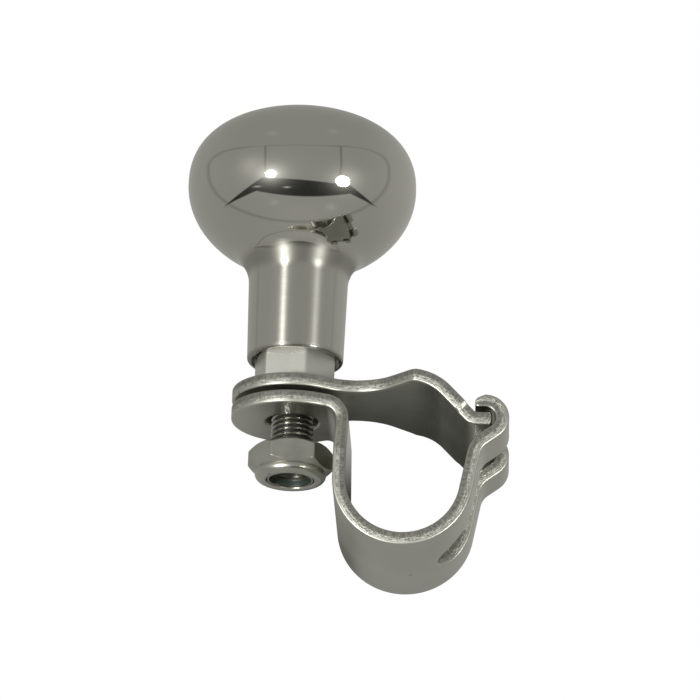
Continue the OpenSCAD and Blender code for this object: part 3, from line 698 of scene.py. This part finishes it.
class Tree:
    """Builds a node tree."""

    def __init__(self, owner):
        owner.use_nodes = True
        self.tree = owner.node_tree
        self.tree.nodes.clear()

    def node(self, kind, setup=None, sockets=None):
        """Adds a node of a kind, sets it up, then fills its sockets with values or links."""
        made = self.tree.nodes.new(kind)
        for key, value in (setup or {}).items():
            if key == "stops":
                ramp = made.color_ramp.elements
                while len(ramp) < len(value):
                    ramp.new(0.5)
                for element, (position, shade) in zip(ramp, value):
                    element.position, element.color = position, (*shade, 1.0)
            else:
                setattr(made, key, value)
        for key, value in (sockets or {}).items():
            socket = made.inputs[key]
            if isinstance(value, Value):
                self.tree.links.new(value.socket, socket)
            elif isinstance(value, bpy.types.NodeSocket):
                self.tree.links.new(value, socket)
            else:
                socket.default_value = value
        return made

    def math(self, operation, *values):
        return Value(self, self.node("ShaderNodeMath", {"operation": operation},
                                     dict(enumerate(values))).outputs[0])

    def low(self, a, b):
        return self.math("MINIMUM", a, b)

    def high(self, a, b):
        return self.math("MAXIMUM", a, b)

    def vector(self, operation, *values, scale=None):
        sockets = dict(enumerate(values))
        if scale is not None:
            sockets["Scale"] = scale
        return self.node("ShaderNodeVectorMath", {"operation": operation}, sockets).outputs["Vector"]

    def dot(self, a, b):
        return Value(self, self.node("ShaderNodeVectorMath", {"operation": "DOT_PRODUCT"},
                                     {0: a, 1: b}).outputs["Value"])

    def coordinates(self, which="Object"):
        return self.node("ShaderNodeTexCoord").outputs[which]

    def split(self, vector):
        made = self.node("ShaderNodeSeparateXYZ", None, {0: vector})
        return [Value(self, made.outputs[k]) for k in range(3)]

    def join(self, x, y, z):
        return self.node("ShaderNodeCombineXYZ", None, {0: x, 1: y, 2: z}).outputs[0]

    def attribute(self, name):
        made = self.node("ShaderNodeAttribute", {"attribute_type": "GEOMETRY", "attribute_name": name})
        return Value(self, made.outputs["Fac"])

    def noise(self, vector, scale, detail=2.0, rough=0.5, distortion=0.0):
        made = self.node("ShaderNodeTexNoise", None, {"Vector": vector, "Scale": scale, "Detail": detail,
                                                      "Roughness": rough, "Distortion": distortion})
        return Value(self, made.outputs["Fac"])

    def specks(self, vector, scale, spread=1.0):
        """Distance from the nearest of scattered points."""
        made = self.node("ShaderNodeTexVoronoi", None, {"Vector": vector, "Scale": scale, "Randomness": spread})
        return Value(self, made.outputs["Distance"])

    def stretched(self, vector, x, y, z):
        return self.vector("MULTIPLY", vector, (x, y, z))

    def shade(self, colour_in, factor):
        """A colour made lighter or darker by a number."""
        if isinstance(colour_in, tuple):
            colour_in = colour_in[:3]
        return self.vector("SCALE", colour_in, scale=factor)

    def mixed(self, factor, a, b):
        made = self.node("ShaderNodeMix", {"data_type": "RGBA"}, {"Factor": factor, "A": a, "B": b})
        return made.outputs["Result"]

    def bump(self, height, distance, strength=1.0):
        return self.node("ShaderNodeBump", None, {"Height": height, "Distance": distance,
                                                  "Strength": strength}).outputs["Normal"]

    def steel(self, base, roughness, normal=None, **fixed):
        sockets = {"Base Color": base, "Metallic": 1.0, "Roughness": roughness}
        if normal is not None:
            sockets["Normal"] = normal
        sockets.update(fixed)
        return self.node("ShaderNodeBsdfPrincipled", None, sockets).outputs["BSDF"]

    def finish(self, shader):
        self.node("ShaderNodeOutputMaterial", None, {"Surface": shader})


def rgba(colour_value, factor=1.0):
    return (*[min(1.0, float(c) * factor) for c in colour_value], 1.0)


def polished_steel(s):
    """Mirror-polished ball with faint buffing haze and finger marks, and a neck whose lathe polish
    stretches each highlight along its length. The neck's open end is painted darker as shade."""
    material = bpy.data.materials.new("polished_knob_steel")
    t = Tree(material)
    place = t.coordinates()
    x, y, z = t.split(place)
    neck = (1 - z.smooth(0.0585, 0.0610)) * (z.smooth(0.0545, 0.0565) * 0.45 + 0.55)
    haze = t.noise(place, 60.0, 3.0, 0.55)
    marks = t.noise(place, 240.0, 4.0, 0.6).smooth(0.52, 0.75) * t.noise(place, 35.0, 1.0).smooth(0.45, 0.7)
    lines = t.noise(t.stretched(place, 60.0, 60.0, 2600.0), 1.0, 3.0, 0.6)
    tint = t.mixed(haze, rgba(s.steel, 0.965), rgba(s.steel, 1.025))
    mirror = t.steel(tint, s.polish + haze * 0.02 + marks * 0.035)
    ball = t.node("ShaderNodeMixShader", None, {0: s.bloom, 1: mirror, 2: t.steel(tint, 0.36)}).outputs[0]
    ends = z.smooth(0.0545, 0.0575) + (1 - z.smooth(0.0352, 0.0360))
    rough = s.neck_polish + lines * 0.08 - 0.04 + ends * 0.28
    # Painted shade: the base colour of the neck's open end, below about 35 mm up, is darkened by up to 45%.
    tint = t.shade(tint, 1 - (1 - z.smooth(0.0347, 0.0356)) * 0.45)
    tangent = t.node("ShaderNodeTangent", {"direction_type": "RADIAL", "axis": "Z"}).outputs[0]
    turned = t.node("ShaderNodeBsdfPrincipled", None, {
        "Base Color": tint, "Metallic": 1.0, "Roughness": rough, "Anisotropic": 0.95, "Anisotropic Rotation": 0.25,
        "Tangent": tangent}).outputs["BSDF"]
    share = t.node("ShaderNodeMixShader", None, {0: neck, 1: ball, 2: turned}).outputs[0]
    t.finish(share)
    return material


def strap_steel(s, name, outer_first):
    """Tumbled strap: satin faces with fine scratches along the strip and small dents, darker and
    brighter shear marks across the sheared edges, and worn bright rolls. The faces on the rim's side
    are painted darker as shade."""
    material = bpy.data.materials.new(name)
    t = Tree(material)
    place = t.coordinates()
    side, edge, run = t.attribute("side"), t.attribute("edge"), t.attribute("run")
    u, v, _ = t.split(t.coordinates("UV"))
    sheet = t.join(u, v, side * 0.01)
    wall = edge.smooth(0.75, 0.95)
    inner = side.smooth(-0.2, 0.2)
    strokes = t.noise(t.stretched(sheet, 90.0, 1500.0, 1.0), 1.0, 4.0, 0.65)
    cloud = t.noise(place, 70.0, 4.0, 0.6)
    grain = t.noise(place, 1400.0, 2.0, 0.6)
    pits = 1 - t.specks(place, 210.0).smooth(0.02, 0.16)
    pits = pits * t.noise(place, 120.0, 1.0).smooth(0.6, 0.66)
    shear = t.noise(t.join(run * 1900.0, side * 0.9, 0.0), 1.0, 3.0, 0.6)
    tear = t.noise(t.join(run * 700.0, side * 3.4, 2.0), 1.0, 4.0, 0.7)
    broken = (1 - inner) * tear.smooth(0.42, 0.6)
    smear = t.noise(t.stretched(sheet, 60.0, 320.0, 1.0), 1.0, 3.0, 0.6)
    face_shade = 0.97 + (cloud - 0.5) * 0.22 + (strokes - 0.5) * 0.12 + (smear - 0.5) * 0.30 * inner - pits * 0.5
    wall_shade = 0.70 + (shear - 0.5) * 1.30 + broken * 0.30
    shade = face_shade + wall * (wall_shade - face_shade)
    # Painted shade: the inner faces, on the rim's side, take 0.82 of the strap steel's colour, standing for the
    # shade under the saddle and inside the loop.
    base = t.shade(t.mixed(inner, rgba(s.steel), rgba(s.steel, 0.82)), shade)
    face_rough = s.outer_rough + inner * (s.inner_rough - s.outer_rough) + (cloud - 0.5) * 0.10 \
        + (strokes - 0.5) * 0.10 + edge * (1 - wall) * 0.16
    wall_rough = 0.42 + (shear - 0.5) * 0.16 + broken * 0.12
    rough = face_rough + wall * (wall_rough - face_rough)
    height = (strokes * 0.35 + grain * 0.25 - pits * 1.2) * (1 - wall) + wall * (shear * 3.0 + broken * tear * 3.0)
    t.finish(t.steel(base, rough, t.bump(height, 0.00003, 0.55)))
    return material


def spindle_steel(s):
    """Drawn bar: brushed flats on the collar, and a threaded stud with painted shade in its thread roots,
    a slightly darker tone over the whole stud, and worn crests.
    """
    material = bpy.data.materials.new("spindle_bar_steel")
    t = Tree(material)
    place = t.coordinates()
    x, y, z = t.split(place)
    stud = 1 - z.smooth(0.0262, 0.0268)
    reach = t.math("SQRT", (x - STUD_X * MM) ** 2.0 + y ** 2.0)
    root = (1 - reach.smooth(0.00445, 0.00485)) * stud
    brush = t.noise(t.stretched(place, 300.0, 300.0, 3000.0), 1.0, 3.0, 0.65)
    spots = t.noise(place, 900.0, 3.0, 0.7)
    cloud = t.noise(place, 160.0, 2.0, 0.5)
    glint = t.specks(place, 1500.0).smooth(0.0, 0.45)
    # Painted shade: the thread's roots are darkened by 0.70, and the whole stud is made a further 0.12 darker.
    shade = 0.98 + (cloud - 0.5) * 0.14 + (spots - 0.5) * 0.10 - root * 0.70 - stud * 0.12
    rough = 0.54 + (brush - 0.5) * 0.14 - stud * 0.33 + root * 0.25
    height = (brush * 0.5 + glint * 0.6) * (1 - stud) + spots * 0.4 * stud
    t.finish(t.steel(t.shade(rgba(s.steel), shade), rough, t.bump(height, 0.00002, 0.5)))
    return material


def nut_steel(s):
    """Cold-formed nut: satin flats with small dark pits and a blotchy tone."""
    material = bpy.data.materials.new("formed_nut_steel")
    t = Tree(material)
    place = t.coordinates()
    cloud = t.noise(place, 220.0, 3.0, 0.6)
    grain = t.noise(place, 1700.0, 2.0, 0.6)
    pits = (1 - t.specks(place, 260.0).smooth(0.05, 0.2)) * t.noise(place, 150.0, 1.0).smooth(0.56, 0.62)
    shade = 0.96 + (cloud - 0.5) * 0.40 - pits * 0.55
    rough = 0.30 + (cloud - 0.5) * 0.16 + pits * 0.2
    t.finish(t.steel(t.shade(rgba(s.steel), shade), rough, t.bump(grain * 0.4 - pits * 1.5, 0.00003, 0.5)))
    return material


def insert_plastic(s):
    """Dull moulded insert with faint mottling."""
    material = bpy.data.materials.new("insert_moulding")
    t = Tree(material)
    place = t.coordinates()
    mottle = t.noise(place, 700.0, 3.0, 0.6)
    base = t.mixed(mottle, rgba(s.insert, 0.8), rgba(s.insert, 1.3))
    shader = t.node("ShaderNodeBsdfPrincipled", None, {
        "Base Color": base, "Roughness": 0.42 + mottle * 0.15,
        "Normal": t.bump(mottle, 0.00004, 0.4)}).outputs["BSDF"]
    t.finish(shader)
    return material


def bearing_finish(name, base_colour, rough, rings):
    """Ground or pressed bearing steel with fine turning marks."""
    material = bpy.data.materials.new(name)
    t = Tree(material)
    place = t.coordinates()
    marks = t.noise(t.stretched(place, 400.0, 400.0, rings), 1.0, 3.0, 0.6)
    t.finish(t.steel(t.mixed(marks, rgba(base_colour, 0.9), rgba(base_colour, 1.05)),
                     rough + (marks - 0.5) * 0.1, t.bump(marks, 0.00001, 0.4)))
    return material


# ---------- Operators ----------

def dress(piece, material, body, slot, *nodes):
    """Gives a piece its material, and says what it rides on and stands for."""
    piece.data.materials.clear()
    piece.data.materials.append(material)
    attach(piece, body)
    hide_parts(*nodes)


class MakeBallKnob(bpy.types.Operator):
    """Make the polished ball knob with its neck"""
    bl_idname = "spinner.make_ball_knob"
    bl_label = "Ball Knob"

    def execute(self, context):
        s = Millimetres("knob")
        r, z = knob_profile(s)
        piece = lathe("ball_knob", np.repeat(r[:, None], 256, axis=1)[::-1], z[::-1])
        dress(piece, polished_steel(settings("knob")), "knob", "knob_chrome", "knob_shell")
        return {"FINISHED"}


class MakeStraps(bpy.types.Operator):
    """Make the two bent strap brackets"""
    bl_idname = "spinner.make_straps"
    bl_label = "Strap Brackets"

    def execute(self, context):
        s = Millimetres("straps")
        hole = arc((0, 0), s.hole_d / 2, 2 * math.pi, 0)[:-1]
        path, outline = upper_strap_shape(s)
        upper = strap("upper_strap", path, [softened(outline, s.corner), hole], s.thickness, s.outer_roll,
                      s.inner_roll)
        dress(upper, strap_steel(settings("straps"), "upper_strap_steel", True), "mounting", "bracket_steel",
              "upper_bracket")
        path, outline, thin = lower_strap_shape(s)
        lower = strap("lower_strap", path, [softened(outline, s.corner), hole], s.thickness, s.outer_roll,
                      s.inner_roll, thin, s.thickness - s.tip_t)
        dress(lower, strap_steel(settings("straps"), "lower_strap_steel", False), "lower_jaw", "bracket_steel",
              "lower_bracket")
        return {"FINISHED"}


class MakeSpindle(bpy.types.Operator):
    """Make the spindle with its hex collar and threaded stud"""
    bl_idname = "spinner.make_spindle"
    bl_label = "Spindle"

    def execute(self, context):
        s = Millimetres("spindle")
        radius, z = spindle_rows(s)
        piece = lathe("spindle_body", radius, z, turn=s.collar_turn)
        dress(piece, spindle_steel(settings("spindle")), "mounting", "spindle_steel", "spindle")
        return {"FINISHED"}


class MakeLockNut(bpy.types.Operator):
    """Make the lock nut and its soft insert"""
    bl_idname = "spinner.make_lock_nut"
    bl_label = "Lock Nut"

    def execute(self, context):
        s = Millimetres("nut")
        radius, z = nut_rows(s)
        nut = lathe("lock_nut_body", radius, z, turn=s.turn, closed=True)
        dress(nut, nut_steel(settings("nut")), "nut", "nut_steel", "lock_nut")
        low, high = INSERT_LOW[2], INSERT_HIGH[2]
        inner, outer = s.bore_d / 2, (INSERT_HIGH[0] - INSERT_LOW[0]) / 2
        ease = 0.3
        profile = np.array([[inner, high], [inner, low + ease], [inner + 0.1, low + 0.1], [inner + ease, low],
                            [outer, low], [outer, high]])
        ring = lathe("insert_ring", np.repeat(profile[:, :1], 96, axis=1), profile[:, 1], closed=True)
        dress(ring, insert_plastic(settings("nut")), "insert_carrier", "insert_plastic", "nut_insert")
        return {"FINISHED"}


class FinishBearings(bpy.types.Operator):
    """Give the bearings, spacers and retaining rings their finishes"""
    bl_idname = "spinner.finish_bearings"
    bl_label = "Bearings"

    def execute(self, context):
        ground = bearing_finish("ground_ring_steel", (0.60, 0.61, 0.62), 0.18, 4000.0)
        pressed = bearing_finish("pressed_steel", (0.52, 0.52, 0.50), 0.34, 900.0)
        balls = bearing_finish("ball_steel", (0.66, 0.67, 0.68), 0.09, 400.0)
        for name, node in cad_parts.items():
            if node.hide_render:
                continue
            kind = balls if "balls" in name else ground if "ring" in name and "_ring" in name else pressed
            node.data.materials.clear()
            node.data.materials.append(kind)
        return {"FINISHED"}


# Axes of the photograph's camera in the part's frame: forward, right and up
VIEW_TILT, VIEW_SWING, VIEW_ROLL = 0.36303, -0.043633, 0.037486
VIEW_POINT = np.array([12.8946 + STUD_X, 0.0, 11.2952 + SEAT_Z])


def view_axes():
    forward = np.array([math.sin(VIEW_SWING) * math.cos(VIEW_TILT), math.cos(VIEW_SWING) * math.cos(VIEW_TILT),
                        math.sin(VIEW_TILT)])
    level = np.array([math.cos(VIEW_SWING), -math.sin(VIEW_SWING), 0.0])
    rise = np.cross(level, forward)
    c, s = math.cos(VIEW_ROLL), math.sin(VIEW_ROLL)
    return forward, c * level + s * rise, c * rise - s * level


def tent_material(level):
    """Grey light tent. A direction from the knob is laid out as on a mirror ball seen from the front, by
    the half vector of that direction and the front, and its two coordinates place the tent's front
    sheet, its seams, the dark slit under it and the soft glows."""
    forward, right, rise = view_axes()
    material = bpy.data.materials.new("light_tent")
    t = Tree(material)
    centre = (STUD_X * MM, 0.0, (KNOB_HIGH[2] - 24.0) * MM)
    out = t.vector("NORMALIZE", t.vector("SUBTRACT", t.coordinates(), centre))
    half = t.vector("NORMALIZE", t.vector("SUBTRACT", out, tuple(forward)))
    u, v = t.dot(half, tuple(right)), t.dot(half, tuple(rise))

    def glow(at, size, strength):
        away = (u - at[0]) ** 2.0 * (1 / size[0] ** 2) + (v - at[1]) ** 2.0 * (1 / size[1] ** 2)
        return t.math("EXPONENT", 0 - away) * strength

    def line(slope, at):
        """Height at u of a line through a point."""
        return (u - at[0]) * slope + at[1]

    wide = abs((u + 0.03) * (1 / 0.78))
    above = (v - 0.1) * (1 / 0.26)
    below = (0.1 - v) * (1 / 0.655)
    upper = (wide ** 4.0 + t.high(above, 0.0) ** 4.0) ** 0.25
    lower = (wide ** 2.0 + t.high(below, 0.0) ** 2.0) ** 0.5
    sheet = t.high(upper * v.smooth(0.099, 0.101), lower * (1 - v.smooth(0.099, 0.101)))
    rim = t.math("EXPONENT", 0 - ((sheet - 1) * (1 / 0.018)) ** 2.0)
    inside_sheet = 1 - sheet.smooth(0.985, 1.0)
    seam_u = 0.335 - t.high(0.12 - v, 0.0) * 0.12
    seams = t.high(t.math("EXPONENT", 0 - ((u + 0.315) * (1 / 0.009)) ** 2.0),
                   t.math("EXPONENT", 0 - ((u - seam_u) * (1 / 0.009)) ** 2.0))
    seams = seams * inside_sheet * v.smooth(-0.10, -0.06)
    slit_top = t.low(line(-0.11, (0.0, -0.108)), t.low(line(0.97, (-0.356, -0.085)), line(-1.05, (0.415, -0.165))))
    slit_low = t.low((u - 0.03) ** 2.0 * 0.45 - 0.305,
                     t.low(line(0.52, (-0.43, -0.256)), line(-0.54, (0.39, -0.250))))
    slit = (slit_top - v).smooth(-0.006, 0.012) * (v - slit_low).smooth(-0.008, 0.008)
    shade = 1.0 - rim * 0.30 - seams * 0.45
    shade = shade + glow((-0.44, 0.10), (0.10, 0.13), 0.45) + glow((0.40, -0.02), (0.10, 0.11), 0.35)
    shade = shade + glow((-0.23, -0.365), (0.035, 0.03), 0.22) + glow((0.22, -0.41), (0.04, 0.035), 0.28)
    shade = shade + glow((-0.25, 0.494), (0.04, 0.035), 0.14) + glow((0.264, 0.539), (0.04, 0.035), 0.16)
    shade = shade + glow((0.0, -0.5), (0.3, 0.15), 0.12)
    shade = shade + u.smooth(0.45, 1.0) * 0.25 + (0 - u).smooth(0.45, 1.0) * 0.10
    dashes = glow((-0.375, -0.18), (0.028, 0.009), 1.6) + glow((-0.13, -0.20), (0.025, 0.008), 2.0)
    shade = shade * (1 - slit * 0.99) + dashes
    t.finish(t.node("ShaderNodeEmission", None, {"Color": (1.0, 0.985, 0.955, 1.0),
                                                 "Strength": shade * level}).outputs[0])
    return material


def ball_shell(name, radius, material, rows=48, columns=96):
    """Sphere of rows of latitude and columns of longitude, its faces turned inwards."""
    lat, lon = steps(-np.pi / 2, np.pi / 2, rows), 2 * np.pi * np.arange(columns) / columns
    points = np.stack([np.cos(lat)[:, None] * np.cos(lon), np.cos(lat)[:, None] * np.sin(lon),
                       np.repeat(np.sin(lat)[:, None], columns, 1)], -1).reshape(-1, 3) * radius
    shell = add_mesh(name, points, quads(rows, columns, True)[:, ::-1])
    shell.data.materials.append(material)
    return shell


def floor_material(shade):
    """Plain pale floor that is see-through from below and shows white where nothing shades it."""
    material = bpy.data.materials.new("plain_floor")
    t = Tree(material)
    paths = t.node("ShaderNodeLightPath")
    camera = Value(t, paths.outputs["Is Camera Ray"])
    seen = t.high(camera, t.high(Value(t, paths.outputs["Is Glossy Ray"]),
                                 Value(t, paths.outputs["Is Transmission Ray"])))
    matt = t.node("ShaderNodeBsdfDiffuse", None, {"Color": rgba(shade)}).outputs[0]
    white = t.node("ShaderNodeEmission", None, {"Color": (1, 1, 1, 1), "Strength": seen * 0.62}).outputs[0]
    both = t.node("ShaderNodeAddShader", None, {0: matt, 1: white}).outputs[0]
    clear = t.node("ShaderNodeBsdfTransparent").outputs[0]
    under = t.node("ShaderNodeNewGeometry").outputs["Backfacing"]
    t.finish(t.node("ShaderNodeMixShader", None, {0: under, 1: both, 2: clear}).outputs[0])
    return material


def card_material():
    """Black studio card that keeps light off the strap's rim side, thinning out towards its edges."""
    material = bpy.data.materials.new("black_card")
    t = Tree(material)
    x, _, z = t.split(t.coordinates())
    solid = x.smooth(-0.044, -0.030) * (1 - x.smooth(0.004, 0.016)) * z.smooth(-0.020, -0.004) \
        * (1 - z.smooth(0.020, 0.038))
    black = t.node("ShaderNodeBsdfDiffuse", None, {"Color": (0.02, 0.02, 0.018, 1.0)}).outputs[0]
    clear = t.node("ShaderNodeBsdfTransparent").outputs[0]
    t.finish(t.node("ShaderNodeMixShader", None, {0: solid, 1: clear, 2: black}).outputs[0])
    return material


class MakeStage(bpy.types.Operator):
    """Make the floor, the light tent, the lamps and the camera"""
    bl_idname = "spinner.make_stage"
    bl_label = "Studio Stage"

    def lamp(self, name, towards, reach, radius, strength):
        """Round lamp of a given brightness, facing the knob from a direction."""
        centre = Vector((STUD_X * MM, 0.0, (KNOB_HIGH[2] - 25.0) * MM))
        data = bpy.data.lights.new(name, "AREA")
        data.shape, data.size = "DISK", 2 * radius
        data.energy = strength * math.pi * math.pi * radius ** 2
        data.color = (1.0, 0.99, 0.97)
        lamp = bpy.data.objects.new(name, data)
        aim = Vector(towards).normalized()
        lamp.location = centre + aim * reach
        lamp.rotation_mode = "QUATERNION"
        lamp.rotation_quaternion = aim.to_track_quat("Z", "Y")
        lamp.visible_camera = False
        bpy.context.scene.collection.objects.link(lamp)

    def execute(self, context):
        s = settings("stage")
        scene = context.scene
        side = 4.0
        floor_z = (LOWER_LOW[2] - 2.6) * MM / MM
        corner = side / 2 / MM
        points = np.array([[-corner, -corner, floor_z], [corner, -corner, floor_z], [corner, corner, floor_z],
                           [-corner, corner, floor_z]])
        floor = add_mesh("floor", points, np.array([[0, 1, 2, 3]]))
        floor.data.materials.append(floor_material(s.floor))
        floor.visible_glossy = False
        floor.visible_shadow = False
        tent = ball_shell("light_tent", 3000.0, tent_material(s.tent))
        tent.visible_camera = False
        left, right_end, low, high = -44.0, 16.0, -20.0, 38.0
        card = add_mesh("black_card", np.array([[left, 60.0, low], [right_end, 60.0, low], [right_end, 60.0, high],
                                                [left, 60.0, high]]), np.array([[0, 1, 2, 3]]))
        card.data.materials.append(card_material())
        card.visible_camera = False
        world = bpy.data.worlds.new("white_room")
        scene.world = world
        t = Tree(world)
        t.node("ShaderNodeOutputWorld", None, {"Surface": t.node(
            "ShaderNodeBackground", None, {"Color": (1, 1, 1, 1), "Strength": 1.0}).outputs[0]})
        self.lamp("lamp_left", (-0.47, -0.802, -0.369), 0.9, 0.075, s.lamp)
        self.lamp("lamp_right", (0.662, -0.619, -0.423), 0.9, 0.11, s.lamp * 0.25)
        forward, right, rise = view_axes()
        data = bpy.data.cameras.new("camera")
        data.sensor_width, data.lens = 36.0, s.lens
        data.clip_start, data.clip_end = 0.01, 20.0
        camera = bpy.data.objects.new("camera", data)
        turn = Matrix((right, rise, -forward)).transposed().to_4x4()
        place = Vector(VIEW_POINT) * MM - Vector(forward) * s.distance
        camera.matrix_world = Matrix.Translation(place) @ turn
        scene.collection.objects.link(camera)
        scene.camera = camera
        scene.view_settings.view_transform = "Standard"
        return {"FINISHED"}


class SpinnerPanel(bpy.types.Panel):
    """Sizes, colours and makers of the spinner knob"""
    bl_idname = "VIEW3D_PT_spinner"
    bl_label = "Spinner Knob"
    bl_space_type = "VIEW_3D"
    bl_region_type = "UI"
    bl_category = "Spinner Knob"

    def draw(self, context):
        for key, group in GROUPS.items():
            box = self.layout.box()
            for name in group.__annotations__:
                box.prop(settings(key), name)
        for operator in OPERATORS:
            self.layout.operator(operator.bl_idname)


OPERATORS = (MakeBallKnob, MakeStraps, MakeSpindle, MakeLockNut, FinishBearings, MakeStage)


def register():
    for item in (*GROUPS.values(), *OPERATORS, SpinnerPanel):
        bpy.utils.register_class(item)
    for key, group in GROUPS.items():
        setattr(bpy.types.Scene, "spinner_" + key, bpy.props.PointerProperty(type=group))


def unregister():
    for key in GROUPS:
        delattr(bpy.types.Scene, "spinner_" + key)
    for item in reversed((*GROUPS.values(), *OPERATORS, SpinnerPanel)):
        bpy.utils.unregister_class(item)


def main():
    register()
    bpy.ops.spinner.make_ball_knob()
    bpy.ops.spinner.make_straps()
    bpy.ops.spinner.make_spindle()
    bpy.ops.spinner.make_lock_nut()
    bpy.ops.spinner.finish_bearings()
    bpy.ops.spinner.make_stage()


if __name__ == "__main__":
    main()
